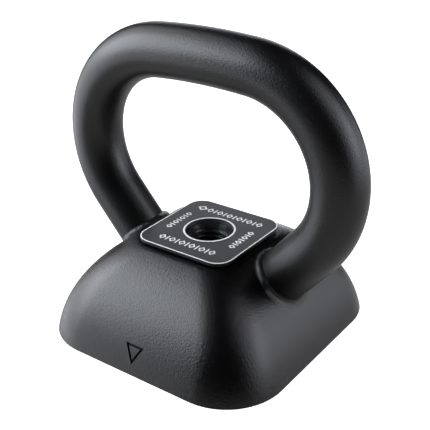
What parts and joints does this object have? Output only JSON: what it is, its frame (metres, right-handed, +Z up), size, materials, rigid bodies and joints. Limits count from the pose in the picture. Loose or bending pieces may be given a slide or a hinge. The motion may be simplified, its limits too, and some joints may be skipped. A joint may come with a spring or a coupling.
{
  "type": "kettlebell",
  "caption": "Kettlebell with a domed square base, a wide bent round handle, and a square face plate round a threaded hole for a locking screw.",
  "frame": {"origin": "centre of the flat underside, on the floor", "axes": "+Z up, +X along the grip towards the right root, -Y towards the face with the triangular mark"},
  "size_m": [0.2148, 0.1648, 0.192],
  "materials": {
    "casting_coat": "semi-gloss black coating with a fine orange-peel texture",
    "handle_coat": "semi-gloss black coating over steel, smoother than the base",
    "weld_coat": "semi-gloss black coating over an uneven weld",
    "plate_anodised": "dark grey anodised, with a white etched edge line and white etched marks",
    "collar_bare": "bare turned metal on its flat top, black inside its bore",
    "insert_blackened": "blackened steel with an oil sheen"
  },
  "bodies": {
    "root": {"base_casting": "casting_coat", "handle_bar": "handle_coat", "handle_weld_left": "weld_coat", "handle_weld_right": "weld_coat", "face_plate": "plate_anodised", "bore_collar": "collar_bare", "threaded_insert": "insert_blackened"}
  },
  "joints": []
}
